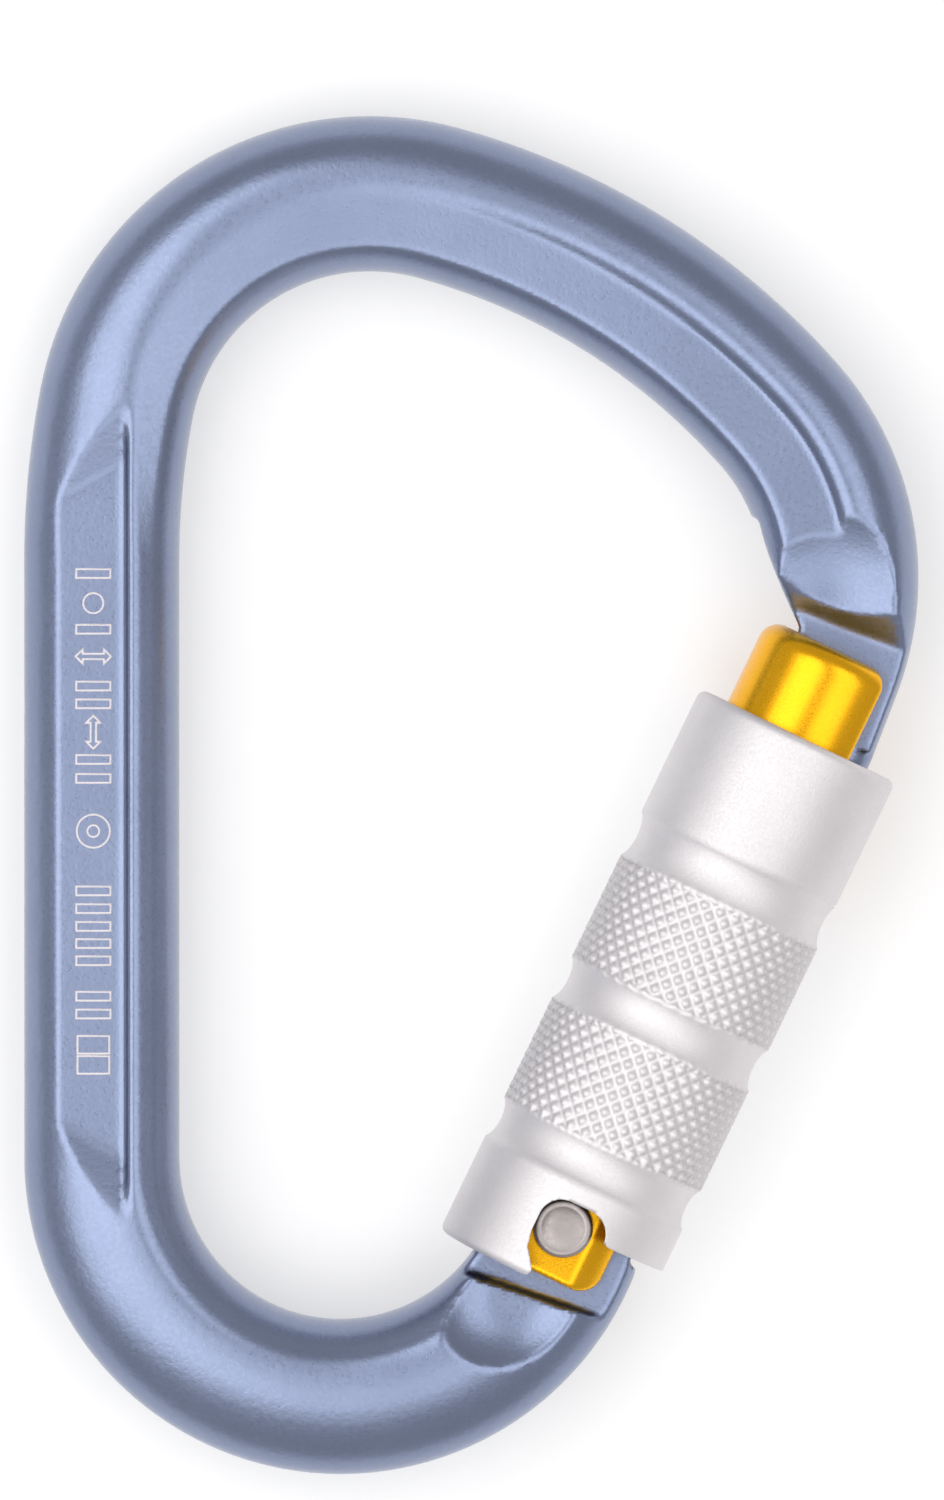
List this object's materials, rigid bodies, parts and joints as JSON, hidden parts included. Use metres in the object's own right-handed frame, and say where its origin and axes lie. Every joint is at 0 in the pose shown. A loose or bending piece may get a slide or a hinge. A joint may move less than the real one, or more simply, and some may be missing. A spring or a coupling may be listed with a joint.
{
  "type": "locking carabiner",
  "caption": "Pear-shaped locking carabiner: a bent bar frame with a sprung key-lock gate under a knurled lift-and-twist sleeve.",
  "frame": {"origin": "centre of the overall box, on the frame's mid-plane", "axes": "+X from the spine towards the gate side, +Y from the hinge end towards the broad end, +Z through the thickness"},
  "size_m": [0.0757, 0.115, 0.0186],
  "materials": {
    "anodised_blue": "satin anodised",
    "anodised_gold": "satin anodised",
    "satin_silver": "bead blasted, clear anodised",
    "stainless": "turned",
    "steel": "ground",
    "spring_steel": "drawn wire",
    "polymer": "moulded"
  },
  "bodies": {
    "frame": {"frame_body": "anodised_blue", "hinge_rivet": "stainless"},
    "gate": {"gate": "anodised_gold", "thrust_washer": "steel", "gate_spring": "spring_steel", "sleeve_spring": "spring_steel"},
    "plunger": {"gate_plunger": "steel"},
    "spring_seat": {"spring_seat_ring": "polymer"},
    "sleeve": {"locking_sleeve": "satin_silver", "snap_ring": "spring_steel", "guide_pin": "steel"}
  },
  "joints": [
    {"name": "gate_swing", "type": "hinge", "parent": "frame", "child": "gate", "pos_m": [0.00777, -0.03639, 0], "axis": [0, 0, 1], "range_deg": [0, 27], "stiffness_Nm_per_rad": 0.4, "springref_deg": -34.38},
    {"name": "sleeve_lift", "type": "slide", "parent": "gate", "child": "spring_seat", "axis": [0.4337, 0.9011, 0], "range_m": [0, 0.0046], "deforming": ["sleeve_spring"]},
    {"name": "sleeve_twist", "type": "hinge", "parent": "spring_seat", "child": "sleeve", "pos_m": [0.00777, -0.03639, 0], "axis": [-0.4337, -0.9011, 0], "range_deg": [0, 109]},
    {"name": "plunger_slide", "type": "slide", "parent": "gate", "child": "plunger", "axis": [0.4337, 0.9011, 0], "range_m": [0, 0.0009], "deforming": ["gate_spring"]}
  ],
  "couplings": [
    {"joint": "sleeve_lift", "follows": "gate_swing", "m_per_rad": 0.009549},
    {"joint": "sleeve_twist", "follows": "gate_swing", "ratio": 4},
    {"joint": "plunger_slide", "follows": "gate_swing", "m_per_rad": 0.001831}
  ]
}
